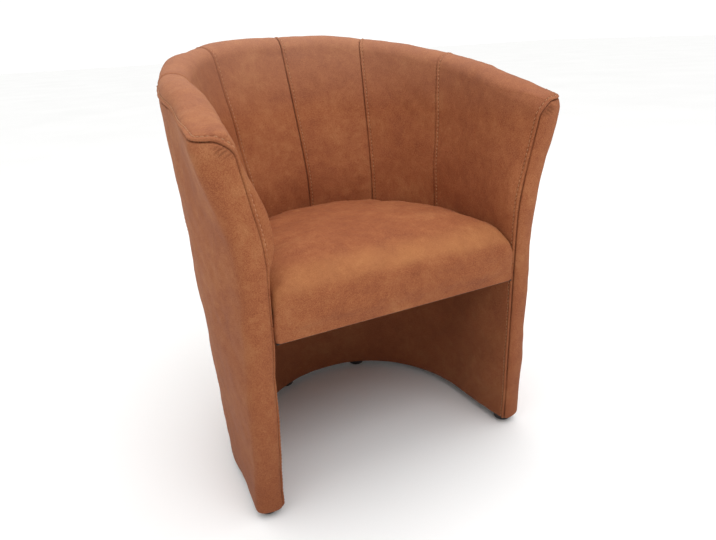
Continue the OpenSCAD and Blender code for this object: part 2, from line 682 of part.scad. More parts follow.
module strap_area(z) {
    translate([0, 0, z]) linear_extrude(web_t) polygon(seat_outline(seat_mid_z, web_inset));
}
module webbing_long() {
    color("dimgray") intersection() {
        strap_area(seat_low + seat_rail_h);
        for (i = [0:web_long_n - 1])
            translate([(i - (web_long_n - 1) / 2) * web_pitch - web_w / 2, round_y - in_back_rim, seat_low])
                cube([web_w, 2 * in_back_rim, 2 * seat_rail_h]);
    }
}
module webbing_cross() {
    color("gray") intersection() {
        strap_area(seat_low + seat_rail_h + web_t);
        for (i = [0:web_cross_n - 1])
            translate([-in_w_rim / 2, crown_y + (i - (web_cross_n - 1) / 2) * web_pitch - web_w / 2, seat_low])
                cube([in_w_rim, web_w, 2 * seat_rail_h]);
    }
}
module seat_liner() {
    color("#222222") translate([0, 0, seat_low - liner_t]) linear_extrude(liner_t)
        polygon(seat_outline(seat_low, liner_inset));
}

// Fasteners and glides

module bolt(col, l) {
    along_wall(col) translate([0, 0, -bolt_from]) {
        cylinder(d = bolt_d, h = l, $fn = round_n);
        translate([0, 0, -bolt_head_t]) cylinder(d = bolt_head_d, h = bolt_head_t, $fn = round_n);
    }
}
module seat_bolts() {
    color("silver") {
        bolt(post_bolt_share, bolt_front_l);
        mirrored() bolt(post_bolt_share, bolt_front_l);
        bolt(rib_side_share, bolt_side_l);
        mirrored() bolt(rib_side_share, bolt_side_l);
    }
}
module rail_screws() {
    color("silver") for (c = screw_cols) translate(concat(screw_place(c), foot_gap + base_lift)) {
        cylinder(d = screw_head_d, h = screw_head_t, $fn = round_n);
        cylinder(d = screw_d, h = screw_l, $fn = round_n);
    }
}
module base_strip() {
    color("#222222") difference() {
        band(all_cols(base_end_share), foot_gap + base_lift - strip_t, strip_t,
             [cover_t + strip_gap + timber_gap, 0], [cover_t + strip_gap + timber_gap, 1], foot_gap);
        for (p = glide_places) translate(concat(p, foot_gap))
            cylinder(d = nail_d + 2 * nail_clear, h = base_lift + over, $fn = round_n);
    }
}
glide_h = foot_gap + base_lift - strip_t;
module glide(i) {
    color("#111111") translate(concat(glide_places[i], 0)) difference() {
        rotate_extrude($fn = 2 * round_n) polygon(concat(
            [[0, 0]],
            [for (a = [-90:15:0]) [glide_d / 2 - glide_round * (1 - cos(a)), glide_round * (1 + sin(a))]],
            [[glide_d / 2, glide_h], [0, glide_h]]));
        translate([0, 0, -over]) cylinder(d = nail_head_d, h = nail_recess + over, $fn = round_n);
        cylinder(d = nail_d + 2 * nail_clear, h = glide_h + over, $fn = round_n);
    }
}
module glide_front_left() { glide(0); }
module glide_front_right() { glide(1); }
module glide_rear_left() { glide(2); }
module glide_rear_right() { glide(3); }
module glide_nails() {
    color("silver") for (p = glide_places) translate(concat(p, nail_recess)) {
        translate([0, 0, -nail_head_t]) cylinder(d = nail_head_d - 2 * nail_clear, h = nail_head_t, $fn = round_n);
        cylinder(d = nail_d, h = nail_l, $fn = round_n);
    }
}

base_rail();
middle_rail();
rim_rail_back();
rim_rail_left();
rim_rail_right();
front_post_left();
front_post_right();
low_rib_back_left();
low_rib_back_right();
low_rib_side_left();
low_rib_side_right();
high_rib_back_left();
high_rib_back_right();
high_rib_side_left();
high_rib_side_right();
inner_board();
outer_board();
inner_padding();
rim_roll();
back_channel_1();
back_channel_2();
back_channel_3();
back_channel_4();
arm_cover_left();
arm_cover_right();
outer_cover_left();
outer_cover_right();
outer_cover_back();
lower_lining();
seat_front_rail();
seat_rear_rail();
seat_side_rail_left();
seat_side_rail_right();
seat_corner_block_left();
seat_corner_block_right();
webbing_long();
webbing_cross();
seat_foam();
seat_cover();
seat_liner();
seat_bolts();
rail_screws();
base_strip();
glide_front_left();
glide_front_right();
glide_rear_left();
glide_rear_right();
glide_nails();
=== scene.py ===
import math

import bmesh
import bpy
import numpy as np
from mathutils import Matrix, Vector
from mathutils.bvhtree import BVHTree
from mathutils.geometry import barycentric_transform
from mathutils.kdtree import KDTree


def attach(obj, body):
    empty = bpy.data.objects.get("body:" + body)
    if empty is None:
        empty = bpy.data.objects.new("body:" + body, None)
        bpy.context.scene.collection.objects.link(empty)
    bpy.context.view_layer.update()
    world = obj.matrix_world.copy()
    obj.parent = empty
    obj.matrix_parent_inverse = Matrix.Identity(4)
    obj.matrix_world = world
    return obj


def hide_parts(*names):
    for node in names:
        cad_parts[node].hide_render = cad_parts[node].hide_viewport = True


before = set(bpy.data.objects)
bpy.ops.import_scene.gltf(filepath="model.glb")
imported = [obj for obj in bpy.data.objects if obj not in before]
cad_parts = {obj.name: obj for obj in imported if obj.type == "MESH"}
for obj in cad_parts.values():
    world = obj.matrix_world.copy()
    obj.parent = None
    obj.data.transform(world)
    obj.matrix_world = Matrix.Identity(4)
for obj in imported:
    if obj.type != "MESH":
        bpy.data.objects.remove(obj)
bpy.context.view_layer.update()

scene = bpy.context.scene
scene.view_settings.view_transform = "Standard"
mm = .001

# shape of the shell in millimetres, the same walls as the solids have
# three values are at the foot, at the bend of the wall (kneeHigh) and at the rim, two are at the foot and high up
# a place on the wall: lap (-1 left arm front, 0 back, 1 right arm front), height, depth outwards from the inside
shell = dict(
    rimHigh=773, armHigh=657, footGap=14, kneeHigh=487, kneeRound=42,
    inWide=(458, 434, 512), inDeep=(243, 230, 338), sideThick=(56.5, 86, 49), backThick=(58, 84, 57),
    endThick=(47, 39.5, 72), splay=(12, 6, 30), reach=(143, 173), roundY=-110.106,
    bend=.62, square=(2, 2.4), thin=4.6, fall=1.75, runRound=.731346,
    nose=19, noseShape=2.7, cap=26, capShape=2.3,
    seamA=.2344, seamB=.5023, endTurn=32, join=370,
    # the arm seam climbs towards the front, so the rim is rounded less there
    endRise=20, riseFrom=.68, riseTo=1, lean=5.5,
    # fullness of the left and the right arm, and where it starts and ends, behind the arm's front and upwards
    full=(19., 8.), fullBehind=(7, 29), fullEnd=(42, 120), fullLow=(425, 505), fullHigh=(535, 636),
)
armFoot = shell["armHigh"] - shell["cap"]   # foot of the arm's rim, before its rise


def mix(a, b, t):
    return a + (b - a) * t


def smooth(low, high, v):
    t = np.clip((v - low) / (high - low), 0, 1)
    return t * t * (3 - 2 * t)


def signedPower(v, p):
    return np.sign(v) * np.abs(v) ** p


def bell(v, width, power=2):
    return np.exp(-(v / width) ** power)


def knee(z):
    k, r, top = shell["kneeHigh"], shell["kneeRound"], shell["rimHigh"]
    return (np.hypot(z - k, r) + z - k) / (math.hypot(top - k, r) + top - k)


def straight(foot, waist, z):
    return mix(foot, waist, (z - shell["footGap"]) / (shell["kneeHigh"] - shell["footGap"]))


def withHeight(name, z):
    foot, waist, top = shell[name]
    return straight(foot, waist, z) + (top - straight(foot, waist, shell["rimHigh"])) * knee(z)


def reach(z):
    return mix(*shell["reach"], (z - shell["footGap"]) / (armFoot - shell["footGap"]))


def endRise(lap):
    return shell["endRise"] * smooth(shell["riseFrom"], shell["riseTo"], np.abs(lap))


def capFoot(lap):
    q, bend = np.minimum(np.abs(lap), 1), shell["bend"]
    onRound, onArm = np.minimum(q / bend, 1), np.maximum(0, (q - bend) / (1 - bend))
    run = onRound * shell["runRound"] + onArm * (1 - shell["runRound"])
    fall = (shell["rimHigh"] - shell["armHigh"]) * run ** shell["fall"]
    return shell["rimHigh"] - fall - shell["cap"] + endRise(lap)


def face(lap, z):
    q, side, bend = np.abs(lap), np.where(lap < 0, -1., 1.), shell["bend"]
    n = mix(*shell["square"], z / shell["rimHigh"])
    a, b, s = withHeight("inWide", z) / 2, withHeight("inDeep", z), withHeight("splay", z)
    turn = np.radians(90 * np.minimum(q / bend, 1))
    cx, cy = np.maximum(np.sin(turn), 0) ** (2 / n), np.maximum(np.cos(turn), 0) ** (2 / n)
    u = np.maximum(0, (q - bend) / (1 - bend))
    gx = np.where(q < bend, cx ** (n - 1) / a, reach(z))
    gy = np.where(q < bend, cy ** (n - 1) / b, 2 * s * u)
    g = np.hypot(gx, gy)
    return side * (a * cx + s * u * u), b * cy - u * reach(z) + shell["roundY"], side * gx / g, gy / g


def wallThick(lap, z):
    q = np.abs(lap)
    turn = np.radians(90 * np.minimum(q / shell["bend"], 1))
    wall = mix(withHeight("backThick", z), withHeight("sideThick", z), np.sin(turn) ** 2)
    return mix(wall, withHeight("endThick", z), q ** shell["thin"])


def place(lap, z, depth):
    x, y, nx, ny = face(lap, z)
    return np.stack([x + nx * depth, y + ny * depth, z + 0 * x], -1)


def lapBehind(dist, z):
    return shell["bend"] + (1 - shell["bend"]) * (1 - dist / reach(z))


def lapOf(col, z, dist=None):
    dist = shell["nose"] if dist is None else dist
    bend = shell["bend"]
    q = np.abs(col)
    return np.where(q <= bend, col, np.sign(col) * mix(bend, lapBehind(dist, z), (q - bend) / (1 - bend)))


def skinLap(col, z, inset, turn):
    back = shell["nose"] - (shell["nose"] - inset) * np.maximum(np.sin(turn), 0) ** (2 / shell["noseShape"])
    return np.where(np.abs(col) >= 1, np.sign(col) * lapBehind(back, z), lapOf(col, z))


def lean(lap, z):
    # the skin leans in above the height where the rim would start without its rise
    return shell["lean"] * np.clip((z - capFoot(lap) + endRise(lap)) / shell["endRise"], 0, 1) ** 2


def fullness(lap, z):
    # each arm is stuffed full inside, just behind its front seam; the left one more than the right one
    behind = (1 - np.abs(lap)) / (1 - shell["bend"]) * reach(z)
    rise, fall, low, high = shell["fullBehind"], shell["fullEnd"], shell["fullLow"], shell["fullHigh"]
    amount = np.where(lap < 0, *shell["full"])
    return amount * smooth(*rise, behind) * (1 - smooth(*fall, behind)) * smooth(*low, z) * (1 - smooth(*high, z))


def skin(col, z, inset, turn):
    inset = inset + lean(skinLap(col, z, inset, turn), z)
    lap = skinLap(col, z, inset, turn)
    half = wallThick(lap, z) / 2
    depth = half - (half - inset) * signedPower(np.cos(turn), 2 / shell["noseShape"])
    return place(lap, z, depth - fullness(lap, z) * (np.cos(turn) > 0))


def topOf(col, turn):
    return capFoot(skinLap(col, armFoot, 0, turn))


def overRim(col, inset, turn, arch):
    lap = skinLap(col, armFoot, inset, turn)
    shrink = np.maximum(np.cos(turn), 0) ** (2 / shell["noseShape"])
    up = np.maximum(np.sin(arch), 0) ** (2 / shell["capShape"])
    z = capFoot(lap) + (shell["cap"] - endRise(lap) - inset) * shrink * up
    inset = inset + lean(lap, capFoot(lap))
    lap = skinLap(col, armFoot, inset, turn)
    half = wallThick(lap, z) / 2
    return place(lap, z, half - (half - inset) * shrink * signedPower(np.cos(arch), 2 / shell["capShape"]))


def addObject(name, data):
    made = bpy.data.objects.new(name, data)
    scene.collection.objects.link(made)
    return made


# meshes from rows and columns of points, each point with its way out of the wall
def outwardMesh(name, points, deeper, keep=None):
    rows, cols = points.shape[:2]
    index = np.arange(rows * cols).reshape(rows, cols)
    quads = np.stack([index[:-1, :-1], index[:-1, 1:], index[1:, 1:], index[1:, :-1]], -1)
    quads = quads.reshape(-1, 4) if keep is None else quads[keep]
    across, down = points[:-1, 1:] - points[:-1, :-1], points[1:, :-1] - points[:-1, :-1]
    wayOut = points - deeper
    if np.sum(np.cross(across, down) * wayOut[:-1, :-1]) < 0:
        quads = quads[:, ::-1]
    wayOut /= np.maximum(np.linalg.norm(wayOut, axis=-1, keepdims=True), 1e-9)
    mesh = bpy.data.meshes.new(name)
    mesh.from_pydata(points.reshape(-1, 3) * mm, [], quads.tolist())
    layer = mesh.attributes.new("wayOut", "FLOAT_VECTOR", "POINT")
    layer.data.foreach_set("vector", wayOut.astype(np.float32).reshape(-1))
    build = bmesh.new()
    build.from_mesh(mesh)
    bmesh.ops.remove_doubles(build, verts=build.verts, dist=3e-6)
    bmesh.ops.delete(build, geom=[v for v in build.verts if not v.link_faces], context="VERTS")
    build.to_mesh(mesh)
    build.free()
    return addObject(name, mesh)


def closedMesh(name, spots, faces):
    mesh = bpy.data.meshes.new(name)
    mesh.from_pydata(spots, [], faces)
    build = bmesh.new()
    build.from_mesh(mesh)
    bmesh.ops.recalc_face_normals(build, faces=build.faces)
    build.to_mesh(mesh)
    build.free()
    return mesh


def readPoints(mesh):
    flat = np.empty(len(mesh.vertices) * 3)
    mesh.vertices.foreach_get("co", flat)
    return flat.reshape(-1, 3)


def readNormals(mesh):
    flat = np.empty(len(mesh.vertices) * 3)
    mesh.vertex_normals.foreach_get("vector", flat)
    return flat.reshape(-1, 3)


def writePoints(mesh, points):
    mesh.vertices.foreach_set("co", points.reshape(-1))
    mesh.update()


def setAttribute(mesh, name, values):
    layer = mesh.attributes.get(name) or mesh.attributes.new(name, "FLOAT", "POINT")
    layer.data.foreach_set("value", np.asarray(values, dtype=np.float32))


def bake(piece):
    graph = bpy.context.evaluated_depsgraph_get()
    mesh = bpy.data.meshes.new_from_object(piece.evaluated_get(graph))
    piece.modifiers.clear()
    piece.data = mesh
    mesh.shade_smooth()


def lengthAlong(line):
    return np.concatenate([[0], np.cumsum(np.linalg.norm(np.diff(line, axis=0), axis=1))])


def resampled(line, step=.5):
    along = lengthAlong(line)
    at = np.arange(0, along[-1], step)
    return np.stack([np.interp(at, along, line[:, k]) for k in range(3)], -1), at


def ripple(points, wave, seed, count=18):
    dice = np.random.default_rng(seed)
    way = dice.normal(size=(count, 3))
    way *= (2 * math.pi / wave * dice.uniform(.7, 1.4, count) / np.linalg.norm(way, axis=1))[:, None]
    return np.cos(points @ way.T + dice.uniform(0, 6.3, count)).sum(1) / math.sqrt(count / 2)


# seams: a crease, a fold beside it and a row of topstitching on the fold's far side, all in mm
stitching = dict(
    pitch=7.5, row=6.3, armRow=7.6,   # between needle holes, from seam to row
    crease=3.0, creaseWidth=1.15, creaseShape=1.6, shadeWidth=1.1,
    fold=1.0, foldStart=1.2, hole=.7, holeWidth=1.1, holeLength=1.2, holeShade=.55,
    groove=1.0, grooveWidth=1.3, grooveShade=.2, gather=.3, slack=.8, slackWidth=7,
    threadLength=5.6, threadThick=.95, threadRise=1.15, threadSink=.8, tilt=.07, seed=5,
)
plain = dict(creaseWidth=1.3, swell=.9, swellWidth=6, swellStart=1.5, gather=.2, gatherAt=3, gatherWidth=2.2)
wrinkle = dict(start=(.5, 3), fade=.45, width=1.7, ridge=.6, ridgeBeside=2.8, shade=.35, shadeWidth=1.4)
# deepest stays under 4.3 mm, where the padding starts under the cover's face
soft = dict(pull=3.2, slowWave=120, slowDeep=.9, quickWave=34, quickDeep=.2, thick=2.0, seed=11, deepest=3.7)


def foldDepth(d, s, row):
    # d is the distance from the seam, s the distance along it; gives the depth of the surface and its shade
    st = stitching
    phase = np.abs((s / st["pitch"] + .5) % 1 - .5) * st["pitch"]
    hole = bell(d - row, st["holeWidth"]) * bell(phase, st["holeLength"])
    gather = np.cos(2 * np.pi * s / st["pitch"]) * bell(d - row * .55, row * .38) * smooth(0, 1.5, d)
    ridge = bell(d - row * .5, row * .3) * (1 - bell(d, st["foldStart"]))
    slack = np.exp(-np.maximum(d - row, 0) / st["slackWidth"]) * smooth(row - 1, row + 1, d)
    deep = (st["crease"] * bell(d, st["creaseWidth"], st["creaseShape"]) - st["fold"] * ridge + st["hole"] * hole
            + st["groove"] * bell(d - row, st["grooveWidth"]) + st["gather"] * gather + st["slack"] * slack)
    rowShade = st["holeShade"] * hole + st["grooveShade"] * bell(d - row, .9)
    return deep, np.maximum(bell(d, st["shadeWidth"]), rowShade)


def plainDepth(d, s):
    crease = stitching["crease"] * bell(d, plain["creaseWidth"], stitching["creaseShape"])
    swell = plain["swell"] * (np.exp(-d / plain["swellWidth"]) - np.exp(-d / plain["swellStart"]))
    gather = plain["gather"] * np.cos(2 * np.pi * s / stitching["pitch"])
    gather = gather * bell(d - plain["gatherAt"], plain["gatherWidth"])
    return crease + swell + gather, bell(d, stitching["shadeWidth"])


def nearSeam(spots, line):
    dots, at = resampled(line)
    tree = KDTree(len(dots))
    for i, dot in enumerate(dots):
        tree.insert(dot, i)
    tree.balance()
    found = [tree.find(spot) for spot in spots]
    return np.array([f[2] for f in found]), at[[f[1] for f in found]]


stitchSpots = []   # place, way along, way out


def layStitches(mesh, d, s, row, length):
    # the cloth unrolled flat, as distance from the seam and distance along it
    corners = np.empty(len(mesh.loops), dtype=np.int32)
    mesh.loops.foreach_get("vertex_index", corners)
    flat = np.stack([d, s, 0 * d], -1)
    spots, normals = readPoints(mesh), readNormals(mesh)
    tris = []
    for poly in mesh.polygons:
        v = corners[poly.loop_start:poly.loop_start + poly.loop_total]
        if d[v].min() < row + 2 and d[v].max() > row - 2 and np.ptp(s[v]) < 12:
            tris += [(int(v[0]), int(v[i]), int(v[i + 1])) for i in range(1, len(v) - 1)]
    tree = BVHTree.FromPolygons([Vector(f) for f in flat], tris)

    def onCloth(at):
        hit, _, i, off = tree.find_nearest(Vector((row, at, 0)))
        if hit is None or off > 1.5:
            return None
        ends = [Vector(flat[k]) for k in tris[i]]
        spot = barycentric_transform(hit, *ends, *[Vector(spots[k]) for k in tris[i]])
        return spot, Vector(normals[tris[i][0]])

    pitch = stitching["pitch"]
    for k in range(int(length / pitch)):
        middle, before, after = onCloth((k + .5) * pitch), onCloth((k + .25) * pitch), onCloth((k + .75) * pitch)
        if middle and before and after and (after[0] - before[0]).length > 1e-5:
            stitchSpots.append((middle[0], (after[0] - before[0]).normalized(), middle[1]))


def finishPanel(piece, seams, wrinkles=()):
    # each seam: line, kind (fold, plain or join) and its stitch row
    mesh = piece.data
    spots = readPoints(mesh) / mm
    flat = np.empty(len(spots) * 3, dtype=np.float32)
    mesh.attributes["wayOut"].data.foreach_get("vector", flat)
    wayOut = flat.reshape(-1, 3)
    mesh.attributes.remove(mesh.attributes["wayOut"])
    deep, paintedShade, rows = np.zeros(len(spots)), np.zeros(len(spots)), []
    for line, kind, row in seams:
        d, s = nearSeam(spots, line)
        if kind == "fold":
            more, shade = foldDepth(d, s, row)
            rows.append((d, s, row, lengthAlong(line)[-1]))
        elif kind == "plain":
            more, shade = plainDepth(d, s)
        else:
            more, shade = bell(d, 1.2), .3 * bell(d, 1)
        deep, paintedShade = deep + more, np.maximum(paintedShade, shade)
        for at, slant, long, depth in (wrinkles if kind == "plain" else ()):
            beside, w = s - at - slant * d, wrinkle
            share = depth * smooth(*w["start"], d) * (1 - smooth(long * w["fade"], long, d))
            ridge = w["ridge"] * bell(beside - w["ridgeBeside"], w["width"])
            deep = deep + share * (bell(beside, w["width"]) - ridge)
            paintedShade = np.maximum(paintedShade, w["shade"] * share * bell(beside, w["shadeWidth"]))
    deep = deep + soft["slowDeep"] * ripple(spots, soft["slowWave"], soft["seed"])
    deep = deep + soft["quickDeep"] * ripple(spots, soft["quickWave"], soft["seed"] + 1)
    deep = np.minimum(deep, soft["deepest"])
    writePoints(mesh, (spots - wayOut * deep[:, None]) * mm)
    # painted shade: darker in the seams' creases, needle holes, grooves and wrinkles, stored for the cover's colour
    setAttribute(mesh, "crease", np.clip(paintedShade, 0, 1))
    for row in rows:
        layStitches(mesh, *row)
    wall = piece.modifiers.new("thickness", "SOLIDIFY")
    wall.thickness, wall.offset = soft["thick"] * mm, -1
    bake(piece)


# columns of a panel, finer next to the seams at its two ends
def spaced(length, start, end, step):
    fine = {"fold": [0, .5, 1, 1.6, 2.3, 3.1, 4, 5, 5.8, 6.5, 7.2, 8, 9.2, 11, 13.5, 17, 21],
            "plain": [0, .6, 1.3, 2.2, 3.5, 5.5, 8, 11.5, 16], "open": [0]}
    low, high = np.array(fine[start], float), length - np.array(fine[end], float)[::-1]
    count = max(1, int(round((high[0] - low[-1]) / step)))
    return np.concatenate([low, np.linspace(low[-1], high[0], count + 1)[1:-1], high]) / length


def archAngles(half, step=1.9):
    # angles over the rim, evenly spaced along it, from the inside up and over to the outer seam
    angle = np.linspace(0, np.pi, 2000)
    across = half * signedPower(np.cos(angle), 2 / shell["capShape"])
    up = shell["cap"] * np.maximum(np.sin(angle), 0) ** (2 / shell["capShape"])
    along = np.concatenate([[0], np.cumsum(np.hypot(np.diff(across), np.diff(up)))])
    return np.interp(spaced(along[-1], "open", "fold", step) * along[-1], along, angle)


# rounded corner of the arm end's seam, in mm, before it runs down the inner corner
corner = dict(round=24, halfEnd=28, rows=24, low=math.radians(shell["endTurn"]))
corner["ratio"] = math.cos(corner["low"]) ** (2 / shell["noseShape"])


def seamTurn(down):
    left = np.clip(down / corner["round"], 0, 1)
    cut = corner["round"] / corner["halfEnd"] * (1 - np.sqrt(np.clip(1 - (1 - left) ** 2, 0, 1)))
    return np.arccos((corner["ratio"] - cut) ** (shell["noseShape"] / 2))


topTurn = float(seamTurn(0.))
armTop = float(topOf(np.array(1.), 0.))
cornerRows = corner["round"] * (1 - np.sin(np.linspace(0, np.pi / 2, corner["rows"])))   # mm under the seam


def wallRows(low, step, fine=0., fineStep=1.3):
    # shares of the height from low to the foot of the rim, with fine rows in the highest part
    tall = armTop - low
    bodyTop = tall - max(corner["round"], fine)
    body = np.linspace(0, bodyTop, int(round(bodyTop / step)) + 1)
    if fine > corner["round"]:
        more = fine - corner["round"]
        body = np.concatenate([body, bodyTop + np.linspace(0, more, int(round(more / fineStep)) + 1)[1:]])
    return np.concatenate([body, tall - cornerRows[1:]]) / tall


def pullAt(col):
    q, a, b = np.abs(col), shell["seamA"], shell["seamB"]
    near = np.where(q < a, np.minimum(q, a - q) / a, np.minimum(np.abs(q - a), np.abs(b - q)) / (b - a))
    near = np.where(q > b, (q - b) / (b - a), near)   # 0 at a seam, .5 halfway between two
    return soft["pull"] * np.maximum(0, 1 - 2 * near) ** 3


def over(inset, cols, angles, turn=0.):
    c, arch = np.broadcast_arrays(cols[None, :], angles[:, None])
    t = np.broadcast_to(turn, c.shape)
    return overRim(c, inset + pullAt(c) * (1 + np.cos(arch)) / 2 * (t == 0), t, arch)


hem = dict(high=9, deep=5.6, steps=7)
# how finely the sheets are divided: steps and the widths they are spread over in mm, numbers of rows and columns
grids = dict(
    channel=dict(width=165, step=4.5, rows=190, halfRim=28),
    arm=dict(width=106, step=2.2, frontCols=84, turnCols=24, lastTurns=4, rowStep=1.9, halfRim=26),
    side=dict(width=125, step=5, frontCols=36, rowStep=4.2, fineHigh=52),
    back=dict(width=800, step=5.5, rows=190),
    lining=dict(width=640, step=9, turnCols=15, rows=184),
)


def withHem(shares, cols, turns, inset, top):
    # rows from the turned-in hem under the shell up to the given tops
    bend = np.linspace(np.pi / 2, 0, hem["steps"])[:-1]
    hemHigh = shell["footGap"] + hem["high"] * (1 - np.sin(bend))
    body = mix(shell["footGap"] + hem["high"], top, shares[:, None])
    z = np.concatenate([np.broadcast_to(hemHigh[:, None], (len(bend), len(cols))), body])
    more = np.concatenate([hem["deep"] * (1 - np.cos(bend)), 0 * shares])[:, None]
    return skin(cols[None, :] + 0 * z, z, inset + more + 0 * z, turns + 0 * z)


coverPieces = []


def panel(name, makeSheet, seams, keep=None, wrinkles=()):
    points, deeper = makeSheet(0.), makeSheet(3.)   # the second one gives the way out of the wall
    piece = outwardMesh(name, points, deeper, keep)
    finishPanel(piece, seams(points), wrinkles)
    coverPieces.append(piece)
    return piece


def backChannel(name, low, high, replaced):
    grid, row = grids["channel"], stitching["row"]
    cols = mix(low, high, spaced(grid["width"], "fold", "plain", grid["step"]))
    shares, angles = np.linspace(0, 1, grid["rows"]), archAngles(grid["halfRim"])

    def makeSheet(inset):
        z = mix(shell["join"], topOf(cols, 0.), shares[:-1, None])
        wall = skin(cols[None, :] + 0 * z, z, inset + pullAt(cols)[None, :] + 0 * z, 0 * z)
        return np.concatenate([wall, over(inset, cols, angles)])
    piece = panel(name, makeSheet, lambda p: [(p[:, 0], "fold", row), (p[:, -1], "plain", 0), (p[-1], "fold", row)])
    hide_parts(replaced)


def armCover(name, side, replaced):
    b, bend, grid = shell["seamB"], shell["bend"], grids["arm"]
    seam = "plain" if side < 0 else "fold"
    cols = np.concatenate([mix(b, bend, spaced(grid["width"], seam, "open", grid["step"])),
                           mix(bend, 1, np.linspace(0, 1, grid["frontCols"])[1:])])
    # after the wall's columns come those round the inner corner, up to the seam, and the rim's last ones over the end
    count, inner = len(cols), grid["turnCols"]
    turnShares = np.linspace(0, 1, inner)[1:]
    turned = np.concatenate([0 * cols, topTurn * turnShares, np.linspace(topTurn, np.pi / 2, grid["lastTurns"])[1:]])
    allCols = side * np.concatenate([cols, np.ones(len(turned) - count)])
    shares, angles = wallRows(shell["join"], grid["rowStep"]), archAngles(grid["halfRim"])

    def makeSheet(inset):
        top = topOf(allCols, turned)
        z = mix(shell["join"], top, shares[:-1, None])
        start = seamTurn((top[None, :] - z))
        turns = np.where(turned[None, :] > 0, start * np.minimum(turned / topTurn, 1), 0)
        wall = skin(allCols[None, :] + 0 * z, z, inset + pullAt(allCols)[None, :] * (turned == 0) + 0 * z, turns)
        return np.concatenate([wall, over(inset, allCols, angles, turned[None, :])])
    wallCount, edge = len(shares) - 1, count + inner - 2
    keep = np.ones((wallCount + len(angles) - 1, len(allCols) - 1), bool)
    keep[:wallCount, edge:] = False

    def seams(p):
        border = np.concatenate([p[-1], p[wallCount, edge + 1:][::-1], p[:wallCount + 1, edge][::-1]])
        return [(p[:, 0], seam, stitching["row"]), (border, "fold", stitching["armRow"]),
                (p[0, :edge + 1], "join", 0)]
    piece = panel(name, makeSheet, seams, keep)
    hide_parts(replaced)


def outerSide(name, side, replaced):
    b, bend, grid = shell["seamB"], shell["bend"], grids["side"]
    # shares of the turn round the arm's end, closest together next to the front seam
    ease = np.concatenate([[0, .01, .022, .036, .052], np.linspace(.07, .5, 26)[:-1], np.linspace(.5, 1, 16)])
    cols = np.concatenate([mix(1, bend, np.linspace(0, 1, grid["frontCols"])),
                           mix(bend, b, spaced(grid["width"], "open", "plain", grid["step"]))[1:]])
    allCols = side * np.concatenate([np.ones(len(ease) - 1), cols])
    foot = shell["footGap"] + hem["high"]
    shares = wallRows(foot, grid["rowStep"], grid["fineHigh"])

    def makeSheet(inset):
        tops = np.concatenate([topOf(allCols[:len(ease)], mix(topTurn, np.pi, ease)),
                               topOf(allCols[len(ease):], 0.)])
        z = mix(foot, tops, shares[:, None])
        start = seamTurn(tops[None, :len(ease)] - z[:, :len(ease)])
        turns = np.concatenate([mix(start, np.pi, ease[None, :]), np.full((len(shares), len(cols) - 1), np.pi)], 1)
        low = np.broadcast_to(turns[:1], (hem["steps"] - 1, turns.shape[1]))
        return withHem(shares, allCols, np.concatenate([low, turns]), inset, tops[None, :])
    bent = lengthAlong(makeSheet(0.)[:, 0])[-1]   # where the seam ends its rounded corner
    # place along the seam, slant, length and depth of each gather
    gathers = [(bent - 37, .1, 13, 1.0), (bent - 31.5, .3, 19, 1.6), (bent - 26, .5, 22, 1.8),
               (bent - 20.5, .65, 20, 1.6), (bent - 15, .8, 15, 1.1)]
    piece = panel(name, makeSheet, lambda p: [(np.concatenate([p[:, 0], p[-1, 1:]]), "plain", 0),
                                              (p[:, -1], "join", 0)], None, gathers)
    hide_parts(replaced)


def outerBack():
    b, grid, row = shell["seamB"], grids["back"], stitching["row"]
    cols = mix(-b, b, spaced(grid["width"], "fold", "fold", grid["step"]))
    shares = np.concatenate([np.linspace(0, .985, grid["rows"]), [.99, .994, .997, .999, 1]])

    def makeSheet(inset):
        turns = np.full((hem["steps"] - 1 + len(shares), len(cols)), np.pi)
        return withHem(shares, cols, turns, inset, topOf(cols, 0.)[None, :])
    piece = panel("outerCoverBack", makeSheet, lambda p: [(p[-1], "plain", 0), (p[:, 0], "fold", row),
                                                          (p[:, -1], "fold", row)])
    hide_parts("outer_cover_back")


def lowerLining():
    grid, row = grids["lining"], stitching["armRow"]
    half = spaced(grid["width"], "open", "fold", grid["step"])
    bent = corner["low"] * np.linspace(0, 1, grid["turnCols"])[1:]
    cols, end = np.concatenate([-half[::-1][:-1], half]), np.ones(len(bent))
    allCols = np.concatenate([-end, cols, end])
    turns = np.concatenate([bent[::-1], 0 * cols, bent])
    shares = np.linspace(0, 1, grid["rows"])

    def makeSheet(inset):
        allTurns = np.broadcast_to(turns, (hem["steps"] - 1 + len(shares), len(turns)))
        return withHem(shares, allCols, allTurns, inset, np.full((1, len(allCols)), float(shell["join"])))
    piece = panel("lowerLining", makeSheet, lambda p: [(p[::-1, 0], "fold", row), (p[::-1, -1], "fold", row),
                                                       (p[-1], "join", 0)])
    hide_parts("lower_lining")


seamCols = [-shell["seamB"], -shell["seamA"], 0, shell["seamA"], shell["seamB"]]
for i in range(4):
    backChannel(f"backChannel{i + 1}", seamCols[i], seamCols[i + 1], f"back_channel_{i + 1}")
for word, side in (("Left", -1), ("Right", 1)):
    armCover("armCover" + word, side, "arm_cover_" + word.lower())
    outerSide("outerCover" + word, side, "outer_cover_" + word.lower())
outerBack()
lowerLining()
print("covers of the shell made:", len(coverPieces), "stitches:", len(stitchSpots))


